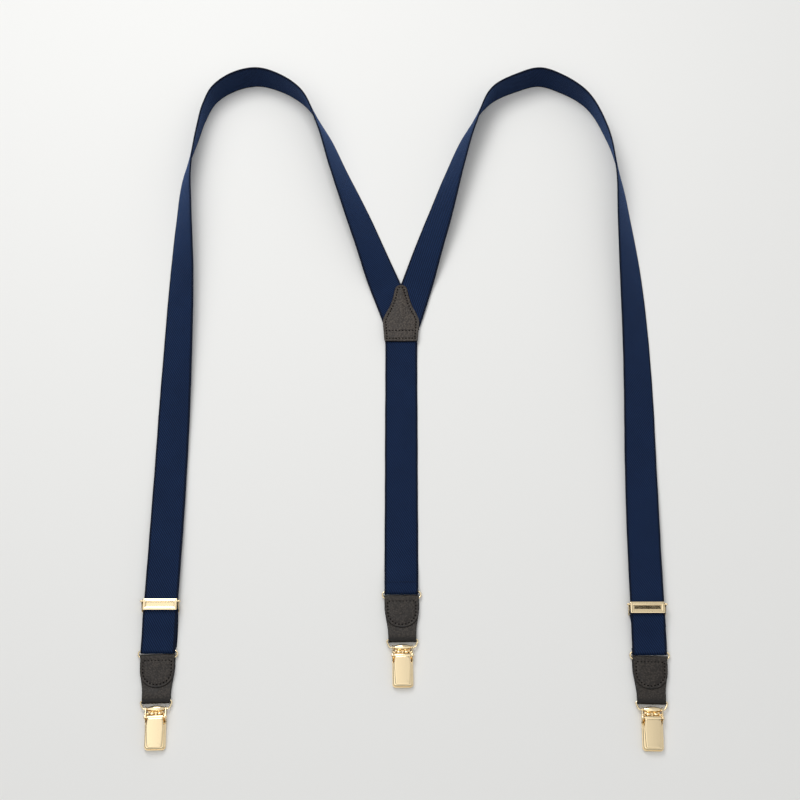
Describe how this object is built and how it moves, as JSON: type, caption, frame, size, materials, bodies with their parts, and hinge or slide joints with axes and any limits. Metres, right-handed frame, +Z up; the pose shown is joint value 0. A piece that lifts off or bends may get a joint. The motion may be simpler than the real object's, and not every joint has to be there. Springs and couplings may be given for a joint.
{
  "type": "clip-on suspenders",
  "caption": "Y-back clip-on suspenders in navy webbing with a brown leather yoke, leather tabs, sliding adjusters and pale gold lever clips, laid out in two loops.",
  "frame": {"origin": "centre of the underside of the yoke's back patch, on the table plane", "axes": "+X to the right of the laid-out suspenders, +Y along the back strap from the rear clip towards the shoulder loops, +Z up from the table"},
  "size_m": [0.3857, 0.5701, 0.025],
  "materials": {
    "navy_webbing": "fine diagonal twill webbing, matte",
    "brown_leather": "smooth grained, dark stitched edges",
    "pale_gold_metal": "polished pale gold plating",
    "pale_plastic": "ribbed grip pads"
  },
  "bodies": {
    "straps": {"yoke_front": "brown_leather", "yoke_back": "brown_leather", "back_strap": "navy_webbing", "shoulder_strap_left": "navy_webbing", "shoulder_strap_right": "navy_webbing"},
    "strap_end_left": {"strap_run_left": "navy_webbing", "strap_fold_left": "navy_webbing"},
    "adjuster_left": {"adjuster_frame_left": "pale_gold_metal", "adjuster_pin_left": "pale_gold_metal", "strap_return_left": "navy_webbing"},
    "adjuster_lever_left": {"adjuster_lever_left": "pale_gold_metal"},
    "strap_end_right": {"strap_run_right": "navy_webbing", "strap_fold_right": "navy_webbing"},
    "adjuster_right": {"adjuster_frame_right": "pale_gold_metal", "adjuster_pin_right": "pale_gold_metal", "strap_return_right": "navy_webbing"},
    "adjuster_lever_right": {"adjuster_lever_right": "pale_gold_metal"},
    "ring_left": {"ring_left": "pale_gold_metal"},
    "tab_left": {"leather_tab_left": "brown_leather"},
    "bail_left": {"bail_left": "pale_gold_metal"},
    "clip_left": {"clip_base_left": "pale_gold_metal", "base_pad_left": "pale_plastic", "lever_pin_left": "pale_gold_metal"},
    "clip_jaw_left": {"clip_jaw_left": "pale_gold_metal", "jaw_pad_left": "pale_plastic"},
    "clip_lever_left": {"clip_lever_left": "pale_gold_metal"},
    "ring_right": {"ring_right": "pale_gold_metal"},
    "tab_right": {"leather_tab_right": "brown_leather"},
    "bail_right": {"bail_right": "pale_gold_metal"},
    "clip_right": {"clip_base_right": "pale_gold_metal", "base_pad_right": "pale_plastic", "lever_pin_right": "pale_gold_metal"},
    "clip_jaw_right": {"clip_jaw_right": "pale_gold_metal", "jaw_pad_right": "pale_plastic"},
    "clip_lever_right": {"clip_lever_right": "pale_gold_metal"},
    "ring_rear": {"ring_rear": "pale_gold_metal"},
    "tab_rear": {"leather_tab_rear": "brown_leather"},
    "bail_rear": {"bail_rear": "pale_gold_metal"},
    "clip_rear": {"clip_base_rear": "pale_gold_metal", "base_pad_rear": "pale_plastic", "lever_pin_rear": "pale_gold_metal"},
    "clip_jaw_rear": {"clip_jaw_rear": "pale_gold_metal", "jaw_pad_rear": "pale_plastic"},
    "clip_lever_rear": {"clip_lever_rear": "pale_gold_metal"}
  },
  "joints": [
    {"name": "strap_shorten_left", "type": "slide", "parent": "straps", "child": "strap_end_left", "axis": [0.0098, 1, 0], "range_m": [0, 0.05], "deforming": ["strap_run_left"]},
    {"name": "adjuster_travel_left", "type": "slide", "parent": "strap_end_left", "child": "adjuster_left", "axis": [0.0098, 1, 0], "range_m": [0, 0.05], "deforming": ["strap_return_left"]},
    {"name": "adjuster_lever_lift_left", "type": "hinge", "parent": "adjuster_left", "child": "adjuster_lever_left", "pos_m": [-0.1756, -0.2395, 0.0074], "axis": [-1, 0, 0], "range_deg": [0, 65]},
    {"name": "strap_shorten_right", "type": "slide", "parent": "straps", "child": "strap_end_right", "axis": [0.0125, 0.9999, 0], "range_m": [0, 0.05], "deforming": ["strap_run_right"]},
    {"name": "adjuster_travel_right", "type": "slide", "parent": "strap_end_right", "child": "adjuster_right", "axis": [0.0125, 0.9999, 0], "range_m": [0, 0.05], "deforming": ["strap_return_right"]},
    {"name": "adjuster_lever_lift_right", "type": "hinge", "parent": "adjuster_right", "child": "adjuster_lever_right", "pos_m": [0.1793, -0.2419, 0.0074], "axis": [-1, 0, 0], "range_deg": [0, 65]},
    {"name": "ring_swing_left", "type": "hinge", "parent": "strap_end_left", "child": "ring_left", "pos_m": [-0.17564, -0.2752, 0.0022], "axis": [-0.9999, -0.0148, 0], "range_deg": [-45, 45]},
    {"name": "tab_swing_left", "type": "hinge", "parent": "ring_left", "child": "tab_left", "pos_m": [-0.17556, -0.28, 0.0022], "axis": [0.9999, 0.0148, 0], "range_deg": [-40, 40]},
    {"name": "bail_swing_left", "type": "hinge", "parent": "tab_left", "child": "bail_left", "pos_m": [-0.17458, -0.31199, 0.0026], "axis": [-0.9996, -0.0297, 0], "range_deg": [-50, 50]},
    {"name": "clip_swing_left", "type": "hinge", "parent": "bail_left", "child": "clip_left", "pos_m": [-0.1744, -0.31798, 0.0026], "axis": [0.9996, 0.0297, 0], "range_deg": [-50, 50]},
    {"name": "clip_lever_open_left", "type": "hinge", "parent": "clip_left", "child": "clip_lever_left", "pos_m": [-0.17421, -0.32458, 0.0052], "axis": [-0.9996, -0.0297, 0], "range_deg": [0, 120]},
    {"name": "jaw_open_left", "type": "hinge", "parent": "clip_left", "child": "clip_jaw_left", "pos_m": [-0.1744, -0.31798, 0.0026], "axis": [-0.9996, -0.0297, 0], "range_deg": [0, 10.2]},
    {"name": "ring_swing_right", "type": "hinge", "parent": "strap_end_right", "child": "ring_right", "pos_m": [0.17933, -0.2763, 0.0022], "axis": [-0.9999, 0.0122, 0], "range_deg": [-45, 45]},
    {"name": "tab_swing_right", "type": "hinge", "parent": "ring_right", "child": "tab_right", "pos_m": [0.17927, -0.2811, 0.0022], "axis": [0.9999, -0.0122, 0], "range_deg": [-40, 40]},
    {"name": "bail_swing_right", "type": "hinge", "parent": "tab_right", "child": "bail_right", "pos_m": [0.17847, -0.31259, 0.0026], "axis": [-0.9997, 0.0244, 0], "range_deg": [-50, 50]},
    {"name": "clip_swing_right", "type": "hinge", "parent": "bail_right", "child": "clip_right", "pos_m": [0.17833, -0.31859, 0.0026], "axis": [0.9997, -0.0244, 0], "range_deg": [-50, 50]},
    {"name": "clip_lever_open_right", "type": "hinge", "parent": "clip_right", "child": "clip_lever_right", "pos_m": [0.17816, -0.32519, 0.0052], "axis": [-0.9997, 0.0244, 0], "range_deg": [0, 120]},
    {"name": "jaw_open_right", "type": "hinge", "parent": "clip_right", "child": "clip_jaw_right", "pos_m": [0.17833, -0.31859, 0.0026], "axis": [-0.9997, 0.0244, 0], "range_deg": [0, 10.2]},
    {"name": "ring_swing_rear", "type": "hinge", "parent": "straps", "child": "ring_rear", "pos_m": [0.00038, -0.2306, 0.0022], "axis": [-1, -0.007, 0], "range_deg": [-45, 45]},
    {"name": "tab_swing_rear", "type": "hinge", "parent": "ring_rear", "child": "tab_rear", "pos_m": [0.00042, -0.2354, 0.0022], "axis": [1, 0.007, 0], "range_deg": [-40, 40]},
    {"name": "bail_swing_rear", "type": "hinge", "parent": "tab_rear", "child": "bail_rear", "pos_m": [0.00087, -0.2669, 0.0026], "axis": [-0.9999, -0.014, 0], "range_deg": [-50, 50]},
    {"name": "clip_swing_rear", "type": "hinge", "parent": "bail_rear", "child": "clip_rear", "pos_m": [0.00096, -0.2729, 0.0026], "axis": [0.9999, 0.014, 0], "range_deg": [-50, 50]},
    {"name": "clip_lever_open_rear", "type": "hinge", "parent": "clip_rear", "child": "clip_lever_rear", "pos_m": [0.00105, -0.27949, 0.0052], "axis": [-0.9999, -0.014, 0], "range_deg": [0, 120]},
    {"name": "jaw_open_rear", "type": "hinge", "parent": "clip_rear", "child": "clip_jaw_rear", "pos_m": [0.00096, -0.2729, 0.0026], "axis": [-0.9999, -0.014, 0], "range_deg": [0, 10.2]}
  ],
  "couplings": [
    {"joint": "adjuster_travel_left", "follows": "strap_shorten_left", "ratio": 1},
    {"joint": "adjuster_travel_right", "follows": "strap_shorten_right", "ratio": 1},
    {"joint": "jaw_open_left", "follows": "clip_lever_open_left", "ratio": 0.085},
    {"joint": "jaw_open_right", "follows": "clip_lever_open_right", "ratio": 0.085},
    {"joint": "jaw_open_rear", "follows": "clip_lever_open_rear", "ratio": 0.085}
  ]
}
